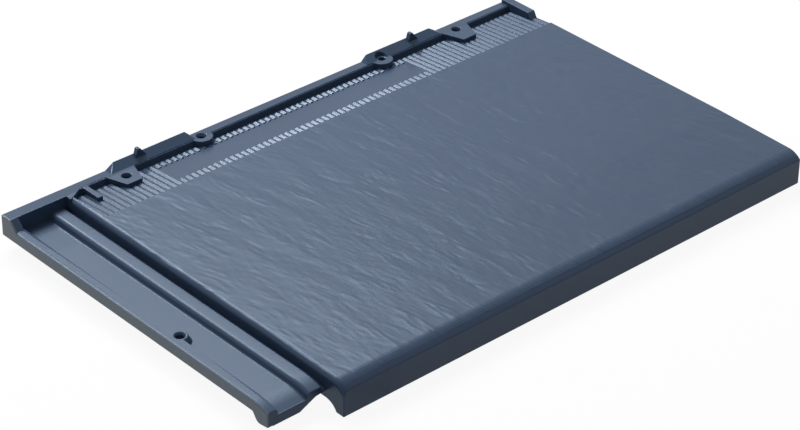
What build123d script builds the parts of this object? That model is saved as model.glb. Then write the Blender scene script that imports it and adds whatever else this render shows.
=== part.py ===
# Flat interlocking roof tile, cast in one piece.
# X runs across the tile, Y from the nose to the head, Z up.
# The origin is the middle of the tile's outline, at the level that it lies on.
import os

from build123d import *

os.makedirs("parts", exist_ok=True)

# Overall sizes
tile_length = 350.0
body_width = 497.0
lap_width = 55.0
body_top = 30.0
slab_under = 15.0
overrun = 5.0

# Nose at the front edge
nose_depth = 8.5
nose_back_run = 7.0
nose_crease = 22.8
shoulder_run = 12.0
shoulder_top = 28.4
shoulder_sagitta = 1.2
nose_fall_end = 90.0
body_edge_radius = 5.0

# Side lap section on the left
lap_under = 11.8
lap_edge_width = 2.5
lap_under_slope = 2.5
lap_edge_radius = 1.7
lap_rib_top = 22.0
lap_rib_width = 9.3
lap_rib_slope = 1.0
lap_strip_top = 16.5
lap_strip_under = 9.2
lap_step_foot = 18.5
lap_step_crest = 16.3
channel_width = 4.3
channel_draft = 1.0
channel_floor = 18.0
channel_under = 10.9
lap_web_start = 24.5
lap_web_end = 9.3
lap_embed = 5.0

# Skirt under the body's left edge
skirt_width = 6.0
skirt_under = 7.3
skirt_curve_start = 12.5
skirt_curve_end = 22.0

# Nose end of the side lap, bent down, lipped and cut away towards the wall
lap_setback = 20.3
lap_bend_length = 22.0
lap_bend_drop = 3.4
lip_front_under = 5.7
lip_under = 4.5
lip_depth = 8.8
lip_back_run = 13.0
lip_embed = 1.5
relief_start = 35.7
relief_bend = 9.2
relief_bend_level = 12.3
relief_top = 13.2
relief_length = 24.0

# Nail hole in the side lap
lap_hole_from_wall = 44.2
lap_hole_from_nose = 136.0
lap_hole_radius = 3.5
lap_hole_mouth_radius = 4.6
lap_hole_mouth_angle = 60.0
lap_boss_top_radius = 6.2
lap_boss_foot_radius = 9.4

# Recessed band and rim at the head
band_start = 294.0
band_step = 1.3
band_back_level = 24.8
band_border = 4.5
rim_top = 30.5
rim_width = 8.5
rim_front_draft = 1.5
lap_rim_width = 11.5
lap_ramp_length = 8.0

# Ribs on the band, short ones before and behind a bare panel
rib_count = 85
first_rib_from_wall = 6.6
last_rib_from_edge = 5.2
rib_width = 3.2
rib_height = 1.2
rib_length = 43.0
rib_embed = 1.0
panel_left = 85.0
panel_right = 355.0
front_stub_length = 9.0
back_stub_length = 11.0

# Ridges and fins on the rim
ridge_centre = 227.85
ridge_inner_half = 99.5
ridge_top_length = 73.0
ridge_outer_ramp = 8.4
ridge_inner_ramp = 5.5
ridge_rise = 5.1
fin_from_wall = 77.5
fin_spacing = 298.1
fin_top = 40.6
fin_crest = 2.5
fin_left_run = 3.4
fin_right_run = 8.2
fin_depth = 4.6

# Nail bosses at the head
hole_centre = 239.8
outer_hole_spacing = 368.5
left_hole_from_head = 17.5
right_hole_from_head = 10.6
outer_boss_base = 29.5
outer_boss_front = 15.2
outer_boss_depth = 20.5
outer_boss_corner = 1.0
inner_hole_spacing = 199.0
inner_hole_from_head = 7.5
inner_boss_radius = 10.0
inner_seat_radius = 5.8
nail_hole_radius = 3.0
outer_mouth_radius = 4.4
outer_mouth_angle = 40.0
left_inner_mouth_radius = 4.6
right_inner_mouth_radius = 3.5
inner_mouth_angle = 60.0

# Lugs and pad at the head corners
left_lug_width = 5.0
left_lug_from_wall = 17.7
left_lug_front = 320.0
right_lug_width = 8.0
right_lug_front = 311.0
right_lug_ramp = 4.5
right_lug_top = 33.5
pad_front = 332.9
pad_foot_from_wall = 1.6
pad_end_from_wall = 16.0

# Overlock under the right edge, over the neighbour's side lap
joint_gap = 1.5
overlock_clearance = 1.0
overlock_draft = 1.5

# Batten nibs under the head
nib_width = 60.0
nib_spacing = 260.0
nib_depth = 16.0
nib_from_head = 10.0
nib_taper = 8.0

# Shared places
wall_x = lap_width - (body_width + lap_width) / 2
left_x = wall_x - lap_width
right_x = wall_x + body_width
nose_y = -tile_length / 2
head_y = tile_length / 2
rim_y = head_y - rim_width
rim_foot_y = rim_y - rim_front_draft
lap_rim_y = head_y - lap_rim_width
lap_nose_y = nose_y + lap_setback
bend_y = lap_nose_y + lap_bend_length
bend_run = lap_bend_length + overrun
bend_fall = lap_bend_drop * (bend_run / lap_bend_length) ** 2
lip_front = (lap_nose_y, lip_front_under)
lip_foot = (lap_nose_y + lip_depth, lip_under)
lip_back = (lap_nose_y + lip_depth + lip_back_run, lap_under + lip_embed)
lap_hole_x = wall_x - lap_hole_from_wall
lap_hole_y = nose_y + lap_hole_from_nose
band_y = nose_y + band_start
band_front_level = body_top - band_step
rib_pitch = (body_width - first_rib_from_wall - last_rib_from_edge) / (rib_count - 1)
rib_places = [first_rib_from_wall + index * rib_pitch for index in range(rib_count)]
full_ribs = [place for place in rib_places if place < panel_left or place > panel_right]
short_ribs = [place for place in rib_places if panel_left <= place <= panel_right]
ridge_outer_x = wall_x + ridge_centre - ridge_inner_half - ridge_top_length
ridge_inner_x = ridge_outer_x + ridge_top_length
next_wall_x = right_x + joint_gap
overlock_x = next_wall_x - lap_width - overlock_clearance
overlock_under = lap_rib_top + overlock_clearance
strip_left_x = next_wall_x - lap_width + lap_rib_width + lap_rib_slope
rib_left_x = strip_left_x + overlock_clearance
rib_right_x = next_wall_x - lap_step_foot - overlock_clearance
rib_under = lap_strip_top + overlock_clearance
hole_x = wall_x + hole_centre
outer_holes = (
    (hole_x - outer_hole_spacing / 2, head_y - left_hole_from_head),
    (hole_x + outer_hole_spacing / 2, head_y - right_hole_from_head),
)
inner_hole_y = head_y - inner_hole_from_head
inner_holes = (
    (hole_x - inner_hole_spacing / 2, left_inner_mouth_radius),
    (hole_x + inner_hole_spacing / 2, right_inner_mouth_radius),
)

# The side lap's section, swept from the head to the bend at its nose end
with BuildPart() as side_lap:
    with BuildLine(Plane.YZ) as lap_path:
        straight = Line((head_y, lap_rib_top), (bend_y, lap_rib_top))
        TangentArc(
            (bend_y, lap_rib_top),
            (bend_y - bend_run, lap_rib_top - bend_fall),
            tangent=straight % 1,
        )
    with BuildSketch(Plane.XZ.offset(-head_y)) as lap_section:
        with BuildLine():
            Polyline(
                (left_x, lap_under),
                (left_x, lap_rib_top),
                (left_x + lap_rib_width, lap_rib_top),
                (left_x + lap_rib_width + lap_rib_slope, lap_strip_top),
                (wall_x - lap_step_foot, lap_strip_top),
                (wall_x - lap_step_crest, lap_rib_top),
                (wall_x - channel_width, lap_rib_top),
                (wall_x - channel_width + channel_draft, channel_floor),
                (wall_x + lap_embed, channel_floor),
                (wall_x + lap_embed, channel_under),
                (wall_x - lap_web_end, channel_under),
                (wall_x - lap_web_start, lap_strip_under),
                (left_x + lap_edge_width + lap_under_slope, lap_strip_under),
                (left_x + lap_edge_width, lap_under),
                close=True,
            )
        make_face()
        fillet(lap_section.vertices().group_by(Axis.X)[0].sort_by(Axis.Y)[-1], lap_edge_radius)
    sweep(path=lap_path.wire())

    # Lip under the nose end, with an S-shaped back
    with BuildSketch(Plane.YZ.offset(left_x)):
        with BuildLine():
            Line(lip_front, lip_foot)
            Spline(lip_foot, lip_back, tangents=((1, 0), (1, 0)))
            Polyline(lip_back, (lap_nose_y, lap_under + lip_embed), lip_front)
        make_face()
    extrude(amount=lap_width)

    # Underside cut away towards the wall at the nose end
    with BuildSketch(Plane.XZ.offset(-lap_nose_y - relief_length)):
        with BuildLine():
            Polyline(
                (wall_x - relief_start, 0),
                (wall_x - relief_bend, relief_bend_level),
                (wall_x, relief_top),
                (wall_x, 0),
                close=True,
            )
        make_face()
    extrude(amount=relief_length + overrun, mode=Mode.SUBTRACT)

    # Nose end trimmed square, clear of the neighbour's nose
    with BuildSketch(Plane.XY):
        with Locations((wall_x, lap_nose_y - tile_length / 2)):
            Rectangle(body_width, tile_length)
    extrude(amount=body_top, mode=Mode.SUBTRACT)

# One ridge, as it stands at the left of the rim
with BuildPart() as ridge:
    with BuildSketch(Plane.XZ.offset(-head_y)):
        with BuildLine():
            Polyline(
                (ridge_outer_x - ridge_outer_ramp, rim_top),
                (ridge_outer_x, rim_top + ridge_rise),
                (ridge_inner_x, rim_top + ridge_rise),
                (ridge_inner_x + ridge_inner_ramp, rim_top),
                close=True,
            )
        make_face()
    extrude(amount=rim_width)
    with BuildSketch(Plane.YZ.offset(left_x)):
        with BuildLine():
            Polyline((rim_y, rim_top), (head_y, rim_top), (head_y, rim_top + ridge_rise), close=True)
        make_face()
    extrude(amount=body_width, mode=Mode.INTERSECT)

with BuildPart() as roof_tile:
    # Body section from the nose to the head
    with BuildSketch(Plane.YZ.offset(wall_x)):
        with BuildLine():
            SagittaArc((nose_y, nose_crease), (nose_y + shoulder_run, shoulder_top), shoulder_sagitta)
            Polyline(
                (nose_y + shoulder_run, shoulder_top),
                (nose_y + nose_fall_end, body_top),
                (rim_y, body_top),
                (rim_y, rim_top),
                (head_y, rim_top),
                (head_y, slab_under),
                (nose_y + nose_depth + nose_back_run, slab_under),
                (nose_y + nose_depth, 0),
                (nose_y, 0),
                (nose_y, nose_crease),
            )
        make_face()
    extrude(amount=body_width)

    # Rounded left edge of the body's top
    upper_edge = roof_tile.faces().sort_by(Axis.X)[0].edges().filter_by(
        lambda edge: edge.center().Z > nose_crease and edge.center().Y < rim_y
    )
    fillet(upper_edge, body_edge_radius)

    # Recessed band, lower towards the rim and open at the right edge
    with BuildSketch(Plane.YZ.offset(wall_x + band_border)):
        with BuildLine():
            Polyline(
                (band_y, band_front_level),
                (rim_foot_y, band_back_level),
                (rim_y, rim_top + overrun),
                (band_y, rim_top + overrun),
                close=True,
            )
        make_face()
    extrude(amount=body_width, mode=Mode.SUBTRACT)

    # Ribs on the band, square to its slope
    band_plane = Plane(
        origin=(wall_x, band_y, band_front_level),
        x_dir=(1, 0, 0),
        z_dir=(0, band_front_level - band_back_level, rim_foot_y - band_y),
    )
    with BuildSketch(band_plane.offset(-rib_height)):
        with Locations(*[(place, (rib_length - rib_embed) / 2) for place in full_ribs]):
            Rectangle(rib_width, rib_length + rib_embed)
        with Locations(*[(place, (front_stub_length - rib_embed) / 2) for place in short_ribs]):
            Rectangle(rib_width, front_stub_length + rib_embed)
        with Locations(*[(place, rib_length - back_stub_length / 2) for place in short_ribs]):
            Rectangle(rib_width, back_stub_length)
    extrude(amount=2 * rib_height)

    # Overlock hollow under the right edge, with its rib over the neighbour's strip
    with BuildSketch(Plane.XZ.offset(-head_y)):
        with BuildLine():
            Polyline(
                (overlock_x, slab_under - overrun),
                (overlock_x + overlock_draft, overlock_under),
                (rib_left_x, overlock_under),
                (rib_left_x + overlock_draft, rib_under),
                (rib_right_x - overlock_draft, rib_under),
                (rib_right_x, overlock_under),
                (right_x + overrun, overlock_under),
                (right_x + overrun, slab_under - overrun),
                close=True,
            )
        make_face()
    extrude(amount=tile_length - nose_depth - nose_back_run, mode=Mode.SUBTRACT)

    # Skirt under the body's left edge, curved into the back of the nose
    with BuildSketch(Plane.YZ.offset(wall_x)):
        with BuildLine():
            Bezier(
                (nose_y + nose_depth, 0),
                (nose_y + skirt_curve_start, skirt_under),
                (nose_y + skirt_curve_end, skirt_under),
            )
            Polyline(
                (nose_y + skirt_curve_end, skirt_under),
                (head_y, skirt_under),
                (head_y, slab_under + overrun),
                (nose_y + nose_depth, slab_under + overrun),
                (nose_y + nose_depth, 0),
            )
        make_face()
    extrude(amount=skirt_width)

    # Side lap, the rim carried over it, and its outer rib ramped up to the rim
    add(side_lap.part)
    with BuildSketch(Plane.XY.offset(lap_under)):
        with Locations(((left_x + wall_x) / 2, (lap_rim_y + head_y) / 2)):
            Rectangle(lap_width, lap_rim_width)
    extrude(amount=rim_top - lap_under)
    with BuildSketch(Plane.YZ.offset(left_x)):
        with BuildLine():
            Polyline(
                (lap_rim_y - lap_ramp_length, lap_under),
                (lap_rim_y - lap_ramp_length, lap_rib_top),
                (lap_rim_y, rim_top),
                (lap_rim_y, lap_under),
                close=True,
            )
        make_face()
    extrude(amount=lap_rib_width)

    # Ridges, mirrored about their own centre
    add(ridge.part)
    mirror(ridge.part, about=Plane.YZ.offset(wall_x + ridge_centre))

    # Fins at the back of the ridges, steep on the left
    for fin_x in (wall_x + fin_from_wall, wall_x + fin_from_wall + fin_spacing):
        with BuildSketch(Plane.XZ.offset(-head_y)):
            with BuildLine():
                Polyline(
                    (fin_x - fin_left_run, rim_top),
                    (fin_x, fin_top),
                    (fin_x + fin_crest, fin_top),
                    (fin_x + fin_crest + fin_right_run, rim_top),
                    close=True,
                )
            make_face()
        extrude(amount=fin_depth)

    # Trapezoid nail bosses
    for boss_x, hole_y in outer_holes:
        with BuildSketch(Plane.XY.offset(slab_under)) as boss_outline:
            with BuildLine():
                Polyline(
                    (boss_x - outer_boss_base / 2, rim_y),
                    (boss_x - outer_boss_front / 2, rim_y - outer_boss_depth),
                    (boss_x + outer_boss_front / 2, rim_y - outer_boss_depth),
                    (boss_x + outer_boss_base / 2, rim_y),
                    close=True,
                )
            make_face()
            fillet(boss_outline.vertices().group_by(Axis.Y)[0], outer_boss_corner)
        extrude(amount=rim_top - slab_under)

    # Round nail bosses, cut off flush at the head, with flat seats in the ridges
    for boss_x, mouth_radius in inner_holes:
        with BuildSketch(Plane.XY.offset(slab_under)):
            with Locations((boss_x, inner_hole_y)):
                Circle(inner_boss_radius)
            with Locations((boss_x, head_y + tile_length / 2)):
                Rectangle(tile_length, tile_length, mode=Mode.SUBTRACT)
        extrude(amount=rim_top - slab_under)
        with BuildSketch(Plane.XY.offset(rim_top)):
            with Locations((boss_x, inner_hole_y)):
                Circle(inner_seat_radius)
        extrude(amount=ridge_rise + overrun, mode=Mode.SUBTRACT)

    # Lugs and pad at the corners of the head
    with BuildSketch(Plane.YZ.offset(wall_x + left_lug_from_wall)):
        with BuildLine():
            Polyline(
                (nose_y + left_lug_front, slab_under),
                (rim_y, slab_under),
                (rim_y, rim_top),
                (nose_y + left_lug_front, rim_top),
                close=True,
            )
        make_face()
    extrude(amount=left_lug_width)
    with BuildSketch(Plane.YZ.offset(right_x - right_lug_width)):
        with BuildLine():
            Polyline(
                (nose_y + right_lug_front, overlock_under),
                (head_y, overlock_under),
                (head_y, right_lug_top),
                (nose_y + right_lug_front + right_lug_ramp, right_lug_top),
                (nose_y + right_lug_front, band_back_level),
                close=True,
            )
        make_face()
    extrude(amount=right_lug_width)
    with BuildSketch(Plane.XY.offset(slab_under)):
        with BuildLine():
            Polyline(
                (wall_x, nose_y + pad_front),
                (wall_x + pad_foot_from_wall, nose_y + pad_front),
                (wall_x + pad_end_from_wall, rim_y),
                (wall_x, rim_y),
                close=True,
            )
        make_face()
    extrude(amount=rim_top - slab_under)

    # Boss round the lap's nail hole
    with BuildSketch(Plane.XY.offset(lap_strip_top)):
        with Locations((lap_hole_x, lap_hole_y)):
            Circle(lap_boss_foot_radius)
    with BuildSketch(Plane.XY.offset(lap_rib_top)):
        with Locations((lap_hole_x, lap_hole_y)):
            Circle(lap_boss_top_radius)
    loft()

    # Batten nibs under the head
    for side in (-1, 1):
        nib_x = wall_x + body_width / 2 + side * nib_spacing / 2
        nib_y = head_y - nib_from_head - nib_depth / 2
        with BuildSketch(Plane.XY.offset(slab_under)):
            with Locations((nib_x, nib_y)):
                Rectangle(nib_width, nib_depth)
        with BuildSketch(Plane.XY):
            with Locations((nib_x, nib_y)):
                Rectangle(nib_width - nib_taper, nib_depth - nib_taper)
        loft()

    # Nail holes
    for hole_place in outer_holes:
        with Locations((*hole_place, rim_top)):
            CounterSinkHole(nail_hole_radius, outer_mouth_radius, rim_top, outer_mouth_angle)
    for boss_x, mouth_radius in inner_holes:
        with Locations((boss_x, inner_hole_y, rim_top)):
            CounterSinkHole(nail_hole_radius, mouth_radius, rim_top, inner_mouth_angle)
    with Locations((lap_hole_x, lap_hole_y, lap_rib_top)):
        CounterSinkHole(lap_hole_radius, lap_hole_mouth_radius, lap_rib_top, lap_hole_mouth_angle)

roof_tile.part.label = "roof_tile"
export_step(roof_tile.part, "parts/roof_tile.step")
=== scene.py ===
"""Dresses the flat roof tile: slate-rippled face, soft cast edges and semi-gloss coating."""
import math

import bmesh
import bpy
from bpy.props import FloatProperty, FloatVectorProperty, IntProperty, PointerProperty
from mathutils import Euler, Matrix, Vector, noise


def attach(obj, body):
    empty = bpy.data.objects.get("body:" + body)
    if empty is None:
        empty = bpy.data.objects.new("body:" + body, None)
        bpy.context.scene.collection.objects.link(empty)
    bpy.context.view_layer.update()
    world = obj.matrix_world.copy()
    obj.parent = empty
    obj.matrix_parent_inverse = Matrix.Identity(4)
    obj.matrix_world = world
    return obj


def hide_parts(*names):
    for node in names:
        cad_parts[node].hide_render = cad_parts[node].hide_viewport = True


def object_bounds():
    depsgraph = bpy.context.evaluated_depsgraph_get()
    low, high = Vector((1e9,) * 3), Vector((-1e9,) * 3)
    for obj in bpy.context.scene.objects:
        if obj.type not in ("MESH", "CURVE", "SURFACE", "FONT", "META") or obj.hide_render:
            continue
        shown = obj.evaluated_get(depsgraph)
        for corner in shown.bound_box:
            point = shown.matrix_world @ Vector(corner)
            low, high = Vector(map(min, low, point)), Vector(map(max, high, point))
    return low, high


bl_info = {
    "name": "Flat roof tile",
    "version": (1, 0, 0),
    "blender": (4, 5, 0),
    "location": "3D View > Sidebar > Roof tile",
    "description": "Builds the look of a flat interlocking roof tile around its solid",
    "category": "Object",
}

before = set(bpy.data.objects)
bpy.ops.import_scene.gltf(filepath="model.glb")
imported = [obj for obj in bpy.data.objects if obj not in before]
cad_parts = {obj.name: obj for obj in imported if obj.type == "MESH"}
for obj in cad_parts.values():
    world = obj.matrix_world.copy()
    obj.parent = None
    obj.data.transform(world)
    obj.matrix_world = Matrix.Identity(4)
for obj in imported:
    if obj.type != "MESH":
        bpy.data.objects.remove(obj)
CAD_LOW, CAD_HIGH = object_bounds()
NODE = "roof_tile"
BODY = "root"
MERGE_DISTANCE = 1e-5  # Points closer than this are one point
CUT_REACH = 1e-6  # Points this close to a cut lie on it
SLIVER = 2e-6  # Edges shorter than this have no length
LINE_REACH = 2e-4  # Points this close to a line lie on it
LEVEL_REACH = 5e-5  # Points this close to a level lie on it
FLAT_ANGLE = math.radians(0.4)  # Faces that turn by less than this are one flat face

# Shares of a rib's height
RIB_DROP = 0.85  # The most that its top drops
RIB_REACH = 1.5  # Points lower than this belong to a rib or the floor
RIB_EDGE_REACH = 0.7  # Its edges lie this close to its middle

# Slate ripple: each noise's scale against one ripple, where it starts, and its share
BEND_SCALE, BEND_SHARE = 0.4, 0.7
PATCH_SCALE, PATCH_START, PATCH_LIFT, PATCH_FADE = 0.45, Vector((3, 5, 0)), 0.2, 0.45
TURN_SCALE, TURN_START, TURN_GAIN = 0.35, Vector((2, 8, 0)), 4
BROAD_SCALE, BROAD_START, BROAD_SHARE = 0.3, Vector((7, 3, 0)), 0.9
FINE_SCALE, FINE_START, FINE_SHARE = 1.8, Vector((1, 9, 0)), 0.4
CREST_SLOPE, CREST_POWER = 2, 2

# Coating
GLOSS_FADE = 0.002  # Distance over which the gloss changes
CLOUD_DETAIL = 4
GRAIN_DETAIL = 3
GRAIN_STRENGTH = 0.5

# Stage
WHITE = (1, 1, 1, 1)
FLOOR_ROUGHNESS = 0.9
SENSOR_WIDTH = 36.0
VIEW_DISTANCE = 100.0
LAMPS = ("key", "back", "top")


class CastSettings(bpy.types.PropertyGroup):
    """Sizes of the cast body's edges and of the slate ripple on its weather face."""

    lap_width: FloatProperty(
        name="Lap width", description="Width of the side lap, left of the weather face",
        default=0.055, unit="LENGTH", precision=4)
    weather_length: FloatProperty(
        name="Weather length",
        description="Length of the rippled face, from the nose to the head band",
        default=0.294, unit="LENGTH", precision=4)
    weather_low: FloatProperty(
        name="Weather low", description="Lowest level that counts as weather face",
        default=0.0255, unit="LENGTH", precision=4)
    weather_tilt: FloatProperty(
        name="Weather tilt", description="Steepest face that counts as weather face",
        default=math.radians(50), subtype="ANGLE")
    edge_radius: FloatProperty(
        name="Edge radius", description="Rounding of the cast edges",
        default=0.0006, unit="LENGTH", precision=5)
    edge_angle: FloatProperty(
        name="Edge angle", description="Edges that turn by more than this are rounded",
        default=math.radians(32), subtype="ANGLE")
    shortest_edge: FloatProperty(
        name="Shortest edge", description="Edges shorter than this stay as they are",
        default=0.0003, unit="LENGTH", precision=5)
    edge_segments: IntProperty(
        name="Edge segments", description="Steps in a rounded edge", default=4)
    shade_angle: FloatProperty(
        name="Shade angle", description="Edges that turn by more than this stay crisp",
        default=math.radians(25), subtype="ANGLE")
    band_front: FloatProperty(
        name="Band front", description="Level of the head band's floor at its front",
        default=0.0287, unit="LENGTH", precision=4)
    band_back: FloatProperty(
        name="Band back", description="Level of the head band's floor at the rim",
        default=0.0248, unit="LENGTH", precision=4)
    band_run: FloatProperty(
        name="Band run", description="Length of the head band's floor",
        default=0.046, unit="LENGTH", precision=4)
    rib_height: FloatProperty(
        name="Rib height", description="Height of the ribs on the head band",
        default=0.0012, unit="LENGTH", precision=4)
    rib_width: FloatProperty(
        name="Rib width", description="Width of those ribs",
        default=0.0032, unit="LENGTH", precision=4)
    rib_first: FloatProperty(
        name="First rib", description="Middle of the first rib, from the weather face's side",
        default=0.0066, unit="LENGTH", precision=4)
    rib_pitch: FloatProperty(
        name="Rib pitch", description="Distance from rib to rib",
        default=0.005776, unit="LENGTH", precision=6)
    rib_lean: FloatProperty(
        name="Rib lean", description="Slope of the ribs' tops down to the side lap",
        default=math.radians(17.5), subtype="ANGLE")
    stub_start: FloatProperty(
        name="Stub start",
        description="Front of the short ribs by the rim, from the front of the band",
        default=0.0319, unit="LENGTH", precision=4)
    stub_trim: FloatProperty(
        name="Stub trim", description="How much those short ribs are cut back to the rim",
        default=0.004, unit="LENGTH", precision=4)
    rib_radius: FloatProperty(
        name="Rib radius", description="Rounding of those ribs",
        default=0.0003, unit="LENGTH", precision=5)
    lap_rib_edge: FloatProperty(
        name="Lap rib edge",
        description="Inner edge of the lap's outer rib, from the weather face's side",
        default=0.0457, unit="LENGTH", precision=4)
    lap_step_crest: FloatProperty(
        name="Lap step crest", description="Crest of the lap's step, from the weather face's side",
        default=0.0163, unit="LENGTH", precision=4)
    lap_step_foot: FloatProperty(
        name="Lap step foot", description="Foot of the lap's step, from the weather face's side",
        default=0.0185, unit="LENGTH", precision=4)
    lap_radius: FloatProperty(
        name="Lap radius", description="Rounding of the lap's long edges",
        default=0.0028, unit="LENGTH", precision=4)
    foot_radius: FloatProperty(
        name="Foot radius", description="Rounding at the foot of the lap's step",
        default=0.0013, unit="LENGTH", precision=4)
    ripple_step_across: FloatProperty(
        name="Ripple step across", description="Mesh size of the rippled face across the tile",
        default=0.0012, unit="LENGTH", precision=5)
    ripple_step_along: FloatProperty(
        name="Ripple step along", description="Mesh size of the rippled face along the tile",
        default=0.0022, unit="LENGTH", precision=5)
    ripple_height: FloatProperty(
        name="Ripple height", description="Height of the slate ripple",
        default=0.00026, unit="LENGTH", precision=5)
    ripple_width: FloatProperty(
        name="Ripple width", description="Width of one ripple across the tile",
        default=0.0046, unit="LENGTH", precision=4)
    ripple_length: FloatProperty(
        name="Ripple length", description="Length of one ripple along the tile",
        default=0.017, unit="LENGTH", precision=4)
    ripple_skew: FloatProperty(
        name="Ripple skew", description="Turn of the ripples against the tile's length",
        default=math.radians(-9), subtype="ANGLE")
    ripple_seed: IntProperty(
        name="Ripple seed", description="Number that fixes the pattern of the ripple",
        default=1, min=1)
    ripple_fade: FloatProperty(
        name="Ripple fade", description="Distance over which the ripple fades at the face's edges",
        default=0.0025, unit="LENGTH", precision=4)


class CoatingSettings(bpy.types.PropertyGroup):
    """Colours and gloss of the coating."""

    colour: FloatVectorProperty(
        name="Colour", description="Main colour of the coating",
        default=(0.041, 0.068, 0.122), size=3, subtype="COLOR", min=0.0, max=1.0)
    pale_colour: FloatVectorProperty(
        name="Pale colour", description="Colour where the coating is thin",
        default=(0.048, 0.077, 0.135), size=3, subtype="COLOR", min=0.0, max=1.0)
    # Painted light: the lap's outer face is painted much lighter than the coating, standing in for
    # the light the floor throws on it.
    painted_light_colour: FloatVectorProperty(
        name="Painted light colour",
        description="Lighter colour painted on the lap's outer face as painted light, standing in for the floor's bounce light",
        default=(0.26, 0.31, 0.36), size=3, subtype="COLOR", min=0.0, max=1.0)
    # Painted light: depth over which that lighter paint fades in from the lap's outer face.
    painted_light_depth: FloatProperty(
        name="Painted light depth",
        description="Distance from that face over which the painted light fades out",
        default=0.0016, unit="LENGTH", precision=4)
    roughness: FloatProperty(
        name="Roughness", description="Roughness of the coating", default=0.34, min=0.0, max=1.0)
    band_start: FloatProperty(
        name="Band start", description="Where the ribbed head band begins, from the nose",
        default=0.294, unit="LENGTH", precision=4)
    rim_start: FloatProperty(
        name="Rim start", description="Where the head rim begins, from the nose",
        default=0.338, unit="LENGTH", precision=4)
    band_roughness: FloatProperty(
        name="Band roughness", description="Roughness of the coating on the ribbed band",
        default=0.30, min=0.0, max=1.0)
    rim_roughness: FloatProperty(
        name="Rim roughness", description="Roughness of the coating on the head rim",
        default=0.20, min=0.0, max=1.0)
    gloss_level: FloatProperty(
        name="Gloss level", description="Strength of the coating's reflections",
        default=0.31, min=0.0, max=1.0)
    gloss_tint: FloatVectorProperty(
        name="Gloss tint", description="Colour of the coating's reflections",
        default=(0.55, 0.75, 1.0), size=3, subtype="COLOR", min=0.0, max=1.0)
    grain_size: FloatProperty(
        name="Grain size", description="Size of the grain that shows through the coating",
        default=0.0028, unit="LENGTH", precision=5)
    grain_height: FloatProperty(
        name="Grain height", description="Depth of that grain",
        default=0.00010, unit="LENGTH", precision=6)
    cloud_size: FloatProperty(
        name="Cloud size", description="Size of the soft patches in the colour",
        default=0.06, unit="LENGTH", precision=4)


class StageSettings(bpy.types.PropertyGroup):
    """Camera, floor and studio light."""

    camera_place: FloatVectorProperty(
        name="Camera place", description="Where the camera stands",
        default=(-1.3236, -1.4526, 1.2461), size=3, subtype="TRANSLATION")
    camera_turn: FloatVectorProperty(
        name="Camera turn", description="How the camera is turned",
        default=tuple(math.radians(turn) for turn in (57.607, -0.559, -41.776)),
        size=3, subtype="EULER")
    camera_lens: FloatProperty(
        name="Lens", description="Focal length on a 36 mm sensor, in millimetres", default=129.06)
    floor_size: FloatProperty(
        name="Floor size", description="Side of the floor", default=12.0, unit="LENGTH")
    floor_bounce: FloatVectorProperty(
        name="Floor bounce", description="Colour of the floor as the tile sees it",
        default=(0.19, 0.195, 0.2), size=3, subtype="COLOR", min=0.0, max=1.0)
    floor_white: FloatProperty(
        name="Floor white", description="Share of the floor that shows white with no light on it",
        default=0.92, min=0.0, max=1.0)
    sky_strength: FloatProperty(
        name="Sky strength", description="Light from all around", default=0.22)
    key_power: FloatProperty(
        name="Key power", description="Power of the large lamp behind the tile, in watts",
        default=27.5)
    key_place: FloatVectorProperty(
        name="Key place", description="Where the large lamp stands",
        default=(0.65, 1.25, 1.85), size=3, subtype="TRANSLATION")
    key_size: FloatProperty(
        name="Key size", description="Side of the large lamp", default=0.9, unit="LENGTH")
    back_power: FloatProperty(
        name="Back power", description="Power of the small lamp behind the head, in watts",
        default=19.0)
    back_place: FloatVectorProperty(
        name="Back place", description="Where the small lamp stands",
        default=(0.45, 2.0, 1.65), size=3, subtype="TRANSLATION")
    back_size: FloatProperty(
        name="Back size", description="Side of the small lamp", default=0.4, unit="LENGTH")
    top_power: FloatProperty(
        name="Top power", description="Power of the lamp that lights the left edges, in watts",
        default=10.0)
    top_place: FloatVectorProperty(
        name="Top place", description="Where that lamp hangs",
        default=(-0.30, 1.19, 1.47), size=3, subtype="TRANSLATION")
    top_size: FloatProperty(
        name="Top size", description="Side of that lamp", default=0.3, unit="LENGTH")


def ramp_up(distance, fade):
    """Smooth step from 0 at the edge to 1 at the fade distance."""
    share = min(max(distance / fade, 0.0), 1.0)
    return share * share * (3 - 2 * share)


def ripple(point, cast):
    """Height of the slate ripple at a point of the weather face, as a share of its full height."""
    turned = Vector((point.x, point.y, 0))
    turned.rotate(Euler((0, 0, cast.ripple_skew)))
    long = Vector((turned.x / cast.ripple_width, turned.y / cast.ripple_length, 0))
    bend = noise.noise_vector(long * BEND_SCALE) * BEND_SHARE
    patch = ramp_up(noise.noise(long * PATCH_SCALE + PATCH_START) + PATCH_LIFT, PATCH_FADE)
    turn = min(max(TURN_GAIN * noise.noise(long * TURN_SCALE + TURN_START), -1.0), 1.0)
    crest = max(0.0, 1 - CREST_SLOPE * abs(noise.noise(long + bend))) ** CREST_POWER
    broad = noise.noise(long * BROAD_SCALE + BROAD_START)
    fine = noise.noise(long * FINE_SCALE + bend + FINE_START)
    return BROAD_SHARE * broad + patch * turn * crest + FINE_SHARE * fine


def tile_mesh():
    """A merged copy of the solid's mesh, with flat faces joined up."""
    work = bmesh.new()
    work.from_mesh(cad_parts[NODE].data)
    bmesh.ops.remove_doubles(work, verts=work.verts, dist=MERGE_DISTANCE)
    bmesh.ops.dissolve_limit(
        work, angle_limit=FLAT_ANGLE, verts=work.verts, edges=work.edges,
        use_dissolve_boundaries=False)
    return work


def band_level(point, cast):
    """Height of a point over the head band's floor, or None where it is not over the band."""
    along = point.y - CAD_LOW.y - cast.weather_length
    if not -LINE_REACH < along < cast.band_run:
        return None
    return point.z - cast.band_front + (cast.band_front - cast.band_back) * along / cast.band_run


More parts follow.
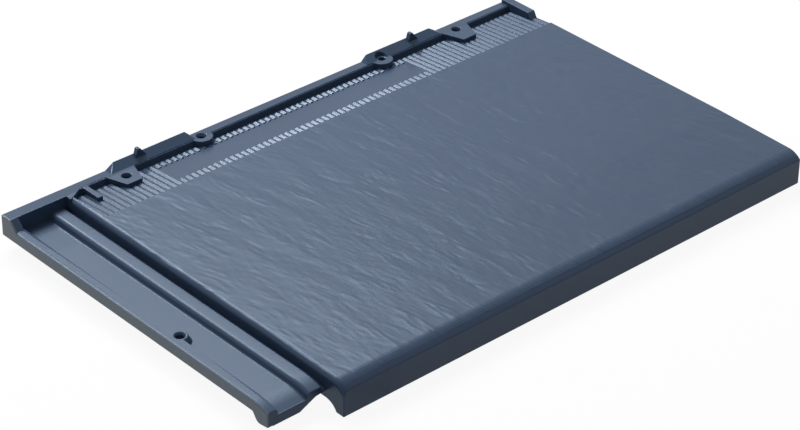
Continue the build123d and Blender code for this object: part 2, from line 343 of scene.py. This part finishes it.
def trim_stubs(work, cast):
    """Cuts back the short ribs by the rim, along the band's sloping floor."""
    slope = (cast.band_front - cast.band_back) / cast.band_run
    front = CAD_LOW.y + cast.weather_length + cast.stub_start
    tallest = cast.rib_height * RIB_REACH
    for vert in work.verts:
        if abs(vert.co.y - front) < LINE_REACH and band_level(vert.co, cast) < tallest:
            vert.co.y += cast.stub_trim
            vert.co.z -= cast.stub_trim * slope


def lean_ribs(work, cast):
    """Slopes the tops of the head band's ribs."""
    first = CAD_LOW.x + cast.lap_width + cast.rib_first
    for vert in work.verts:
        level = band_level(vert.co, cast)
        if level is None or abs(level - cast.rib_height) > LEVEL_REACH:
            continue
        middle = first + round((vert.co.x - first) / cast.rib_pitch) * cast.rib_pitch
        drop = (middle + cast.rib_width / 2 - vert.co.x) * math.tan(cast.rib_lean)
        vert.co.z -= min(max(drop, 0.0), cast.rib_height * RIB_DROP)


def edge_group(edge, cast):
    """Which rounding an edge gets: rib, lap, foot or plain, or None."""
    if not edge.is_manifold or edge.calc_length() < cast.shortest_edge:
        return None
    wall_x = CAD_LOW.x + cast.lap_width
    band_y = CAD_LOW.y + cast.weather_length
    turn = edge.calc_face_angle_signed()

    def along_line(from_wall):
        return all(abs(vert.co.x - wall_x + from_wall) < LINE_REACH for vert in edge.verts)

    def over_band(vert):
        level = band_level(vert.co, cast)
        reach = cast.rib_height * RIB_EDGE_REACH
        return level is not None and abs(level - cast.rib_height / 2) < reach

    def at_band_front(vert):
        return abs(vert.co.y - band_y) < cast.edge_radius

    if turn < -cast.edge_angle and along_line(cast.lap_step_foot):
        return "foot"
    if turn < cast.edge_angle or all(at_band_front(vert) for vert in edge.verts):
        return None
    if along_line(cast.lap_rib_edge) or along_line(cast.lap_step_crest):
        return "lap"
    return "rib" if all(over_band(vert) for vert in edge.verts) else "plain"


def soften_edges(work, cast):
    """Rounds the cast edges, each kind by its own radius."""
    for group, radius in (
            ("rib", cast.rib_radius), ("lap", cast.lap_radius), ("foot", cast.foot_radius),
            ("plain", cast.edge_radius)):
        edges = [edge for edge in work.edges if edge_group(edge, cast) == group]
        bmesh.ops.bevel(
            work, geom=edges, offset=radius, offset_type="OFFSET", segments=cast.edge_segments,
            profile=0.5, affect="EDGES", material=-1, clamp_overlap=False, loop_slide=True)


def cut_rows(work, faces, axis, first, last, step):
    """Cuts the faces into rows across an axis and returns them all."""
    normal = Vector((0, 0, 0))
    normal[axis] = 1
    done = []
    ahead = list(faces)
    for row in range(1, int((last - first) / step) + 1):
        place = first + row * step
        point = Vector((0, 0, 0))
        point[axis] = place
        geom = dict.fromkeys(ahead)
        for face in ahead:
            geom.update(dict.fromkeys(face.edges))
            geom.update(dict.fromkeys(face.verts))
        cut = bmesh.ops.bisect_plane(
            work, geom=list(geom), dist=CUT_REACH, plane_co=point, plane_no=normal)
        found = [item for item in cut["geom"] if isinstance(item, bmesh.types.BMFace)]
        ahead = []
        for face in found:
            behind = face.calc_center_median()[axis] < place
            (done if behind else ahead).append(face)
    return done + ahead


def ripple_face(work, cast):
    """Cuts the weather face into a fine mesh and gives it its slate ripple."""
    wall_x = CAD_LOW.x + cast.lap_width
    band_y = CAD_LOW.y + cast.weather_length
    steep = math.cos(cast.weather_tilt)
    noise.seed_set(cast.ripple_seed)
    faces = [
        face for face in work.faces
        if face.normal.z > steep
        and face.calc_center_median().z > cast.weather_low
        and min(vert.co.x for vert in face.verts) > wall_x - cast.edge_radius
        and max(vert.co.y for vert in face.verts) < CAD_HIGH.y - cast.ripple_fade
        and face.calc_center_median().y < band_y
        and face.calc_area() > cast.ripple_step_across * cast.ripple_step_along
    ]
    faces = cut_rows(work, faces, 0, wall_x, CAD_HIGH.x, cast.ripple_step_across)
    faces = cut_rows(work, faces, 1, CAD_LOW.y, CAD_HIGH.y, cast.ripple_step_along)
    for vert in dict.fromkeys(vert for face in faces for vert in face.verts):
        from_edge = min(
            vert.co.x - wall_x, CAD_HIGH.x - vert.co.x, vert.co.y - CAD_LOW.y, band_y - vert.co.y)
        height = cast.ripple_height * ripple(vert.co, cast)
        vert.co.z += height * ramp_up(from_edge, cast.ripple_fade)


def clear_slivers(work):
    """Takes out the faces without area that rounding leaves where edges meet."""
    bmesh.ops.dissolve_degenerate(work, dist=SLIVER, edges=work.edges)
    bmesh.ops.remove_doubles(work, verts=work.verts, dist=SLIVER)


def shade(work, angle):
    """Smooth shading, broken at sharp edges."""
    for face in work.faces:
        face.smooth = True
    for edge in work.edges:
        edge.smooth = not edge.is_manifold or edge.calc_face_angle() < angle


def coating(settings):
    """Blue-grey semi-gloss coating over fine concrete grain."""
    material = bpy.data.materials.new("coating")
    material.use_nodes = True
    nodes = material.node_tree.nodes
    links = material.node_tree.links
    shader = nodes["Principled BSDF"]
    shader.inputs["Specular IOR Level"].default_value = settings.gloss_level
    shader.inputs["Specular Tint"].default_value = (*settings.gloss_tint, 1)
    place = nodes.new("ShaderNodeTexCoord")
    cloud = nodes.new("ShaderNodeTexNoise")
    cloud.inputs["Scale"].default_value = 1 / settings.cloud_size
    cloud.inputs["Detail"].default_value = CLOUD_DETAIL
    mix = nodes.new("ShaderNodeMix")
    mix.data_type = "RGBA"
    mix.inputs["A"].default_value = (*settings.colour, 1)
    mix.inputs["B"].default_value = (*settings.pale_colour, 1)
    split = nodes.new("ShaderNodeSeparateXYZ")
    # Painted light: mask that is 1 on the lap's outer face and fades to 0 over the set depth
    # inward.
    outer = nodes.new("ShaderNodeMapRange")
    outer.inputs["From Min"].default_value = CAD_LOW.x + settings.painted_light_depth
    outer.inputs["From Max"].default_value = CAD_LOW.x
    # Painted light: mixes the lighter colour over the coating on the lap's outer face, standing in
    # for floor bounce light.
    painted_light = nodes.new("ShaderNodeMix")
    painted_light.data_type = "RGBA"
    painted_light.inputs["B"].default_value = (*settings.painted_light_colour, 1)
    band = nodes.new("ShaderNodeMapRange")
    band.inputs["From Min"].default_value = CAD_LOW.y + settings.band_start
    band.inputs["From Max"].default_value = CAD_LOW.y + settings.band_start + GLOSS_FADE
    band.inputs["To Min"].default_value = settings.roughness
    band.inputs["To Max"].default_value = settings.band_roughness
    rim = nodes.new("ShaderNodeMapRange")
    rim.inputs["From Min"].default_value = CAD_LOW.y + settings.rim_start
    rim.inputs["From Max"].default_value = CAD_LOW.y + settings.rim_start + GLOSS_FADE
    rim.inputs["To Max"].default_value = settings.rim_roughness
    grain = nodes.new("ShaderNodeTexNoise")
    grain.inputs["Scale"].default_value = 1 / settings.grain_size
    grain.inputs["Detail"].default_value = GRAIN_DETAIL
    bump = nodes.new("ShaderNodeBump")
    bump.inputs["Strength"].default_value = GRAIN_STRENGTH
    bump.inputs["Distance"].default_value = settings.grain_height
    links.new(place.outputs["Object"], cloud.inputs["Vector"])
    links.new(place.outputs["Object"], grain.inputs["Vector"])
    links.new(cloud.outputs["Fac"], mix.inputs["Factor"])
    links.new(place.outputs["Object"], split.inputs["Vector"])
    links.new(split.outputs["X"], outer.inputs["Value"])
    links.new(outer.outputs["Result"], painted_light.inputs["Factor"])
    links.new(mix.outputs["Result"], painted_light.inputs["A"])
    links.new(painted_light.outputs["Result"], shader.inputs["Base Color"])
    links.new(split.outputs["Y"], band.inputs["Value"])
    links.new(split.outputs["Y"], rim.inputs["Value"])
    links.new(band.outputs["Result"], rim.inputs["To Min"])
    links.new(rim.outputs["Result"], shader.inputs["Roughness"])
    links.new(grain.outputs["Fac"], bump.inputs["Height"])
    links.new(bump.outputs["Normal"], shader.inputs["Normal"])
    return material


class ROOFTILE_OT_cast(bpy.types.Operator):
    """Makes the cast tile with its rippled face and coating"""

    bl_idname = "rooftile.cast"
    bl_label = "Cast tile"

    def execute(self, context):
        cast = context.scene.rooftile_cast
        work = tile_mesh()
        trim_stubs(work, cast)
        lean_ribs(work, cast)
        soften_edges(work, cast)
        ripple_face(work, cast)
        clear_slivers(work)
        shade(work, cast.shade_angle)
        mesh = bpy.data.meshes.new("cast_tile")
        work.to_mesh(mesh)
        work.free()
        mesh.materials.append(coating(context.scene.rooftile_coating))
        tile = bpy.data.objects.new("cast_tile", mesh)
        even = tile.modifiers.new("even_shading", "WEIGHTED_NORMAL")
        even.keep_sharp = True
        context.scene.collection.objects.link(tile)
        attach(tile, BODY)
        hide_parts(NODE)
        return {"FINISHED"}


class ROOFTILE_OT_stage(bpy.types.Operator):
    """Sets the floor, the light and the camera"""

    bl_idname = "rooftile.stage"
    bl_label = "Stage"

    def execute(self, context):
        stage = context.scene.rooftile_stage
        self.floor(context, stage)
        self.sky(context, stage)
        self.lamps(context, stage)
        self.camera(context, stage)
        context.scene.view_settings.view_transform = "Standard"
        return {"FINISHED"}

    def seen_ray(self, nodes, links):
        """1 where the camera, a reflection or a clear surface looks, and 0 for other light."""
        path = nodes.new("ShaderNodeLightPath")
        total = path.outputs["Is Camera Ray"]
        for name in ("Is Glossy Ray", "Is Transmission Ray"):
            both = nodes.new("ShaderNodeMath")
            both.operation = "ADD"
            both.use_clamp = True
            links.new(total, both.inputs[0])
            links.new(path.outputs[name], both.inputs[1])
            total = both.outputs["Value"]
        return total

    def floor(self, context, stage):
        """A floor that looks white, takes the shadow and throws little light back."""
        work = bmesh.new()
        bmesh.ops.create_grid(work, x_segments=1, y_segments=1, size=stage.floor_size / 2)
        mesh = bpy.data.meshes.new("floor")
        work.to_mesh(mesh)
        work.free()
        floor = bpy.data.objects.new("floor", mesh)
        material = bpy.data.materials.new("floor")
        material.use_nodes = True
        nodes = material.node_tree.nodes
        links = material.node_tree.links
        bounce = nodes["Principled BSDF"]
        bounce.inputs["Base Color"].default_value = (*stage.floor_bounce, 1)
        bounce.inputs["Roughness"].default_value = FLOOR_ROUGHNESS
        bounce.inputs["Specular IOR Level"].default_value = 0.0
        white = nodes.new("ShaderNodeEmission")
        white.inputs["Color"].default_value = WHITE
        white.inputs["Strength"].default_value = 1.0
        paper = nodes.new("ShaderNodeBsdfDiffuse")
        paper.inputs["Color"].default_value = WHITE
        seen = nodes.new("ShaderNodeMixShader")
        seen.inputs["Fac"].default_value = stage.floor_white
        links.new(paper.outputs["BSDF"], seen.inputs[1])
        links.new(white.outputs["Emission"], seen.inputs[2])
        choose = nodes.new("ShaderNodeMixShader")
        links.new(self.seen_ray(nodes, links), choose.inputs["Fac"])
        links.new(bounce.outputs["BSDF"], choose.inputs[1])
        links.new(seen.outputs["Shader"], choose.inputs[2])
        links.new(choose.outputs["Shader"], nodes["Material Output"].inputs["Surface"])
        mesh.materials.append(material)
        context.scene.collection.objects.link(floor)

    def sky(self, context, stage):
        """Even light from all around, white where it is seen."""
        world = bpy.data.worlds.new("studio")
        context.scene.world = world
        world.use_nodes = True
        nodes = world.node_tree.nodes
        links = world.node_tree.links
        soft = nodes["Background"]
        soft.inputs["Color"].default_value = WHITE
        soft.inputs["Strength"].default_value = stage.sky_strength
        white = nodes.new("ShaderNodeBackground")
        white.inputs["Color"].default_value = WHITE
        white.inputs["Strength"].default_value = 1.0
        choose = nodes.new("ShaderNodeMixShader")
        links.new(self.seen_ray(nodes, links), choose.inputs["Fac"])
        links.new(soft.outputs["Background"], choose.inputs[1])
        links.new(white.outputs["Background"], choose.inputs[2])
        links.new(choose.outputs["Shader"], nodes["World Output"].inputs["Surface"])

    def lamps(self, context, stage):
        """Square lamps, each turned to the middle of the tile."""
        for name in LAMPS:
            light = bpy.data.lights.new(name, "AREA")
            light.energy = getattr(stage, name + "_power")
            light.size = getattr(stage, name + "_size")
            lamp = bpy.data.objects.new(name, light)
            lamp.location = getattr(stage, name + "_place")
            aim = (CAD_LOW + CAD_HIGH) / 2 - lamp.location
            lamp.rotation_euler = aim.to_track_quat("-Z", "Y").to_euler()
            context.scene.collection.objects.link(lamp)

    def camera(self, context, stage):
        """The camera in front of the tile, at its left."""
        lens = bpy.data.cameras.new("camera")
        lens.lens = stage.camera_lens
        lens.sensor_width = SENSOR_WIDTH
        lens.sensor_fit = "HORIZONTAL"
        lens.clip_end = VIEW_DISTANCE
        camera = bpy.data.objects.new("camera", lens)
        camera.location = stage.camera_place
        camera.rotation_euler = stage.camera_turn
        context.scene.collection.objects.link(camera)
        context.scene.camera = camera


class ROOFTILE_PT_panel(bpy.types.Panel):
    """Lists the tile's steps"""

    bl_idname = "ROOFTILE_PT_panel"
    bl_label = "Roof tile"
    bl_space_type = "VIEW_3D"
    bl_region_type = "UI"
    bl_category = "Roof tile"

    def draw(self, context):
        for operator in OPERATORS:
            self.layout.operator(operator.bl_idname)


OPERATORS = (ROOFTILE_OT_cast, ROOFTILE_OT_stage)
SETTINGS = {
    "rooftile_cast": CastSettings,
    "rooftile_coating": CoatingSettings,
    "rooftile_stage": StageSettings,
}
CLASSES = (*SETTINGS.values(), *OPERATORS, ROOFTILE_PT_panel)


def register():
    for cls in CLASSES:
        bpy.utils.register_class(cls)
    for name, cls in SETTINGS.items():
        setattr(bpy.types.Scene, name, PointerProperty(type=cls))


def unregister():
    for name in SETTINGS:
        delattr(bpy.types.Scene, name)
    for cls in reversed(CLASSES):
        bpy.utils.unregister_class(cls)


def main():
    register()
    bpy.ops.rooftile.cast()
    bpy.ops.rooftile.stage()


if __name__ == "__main__":
    main()
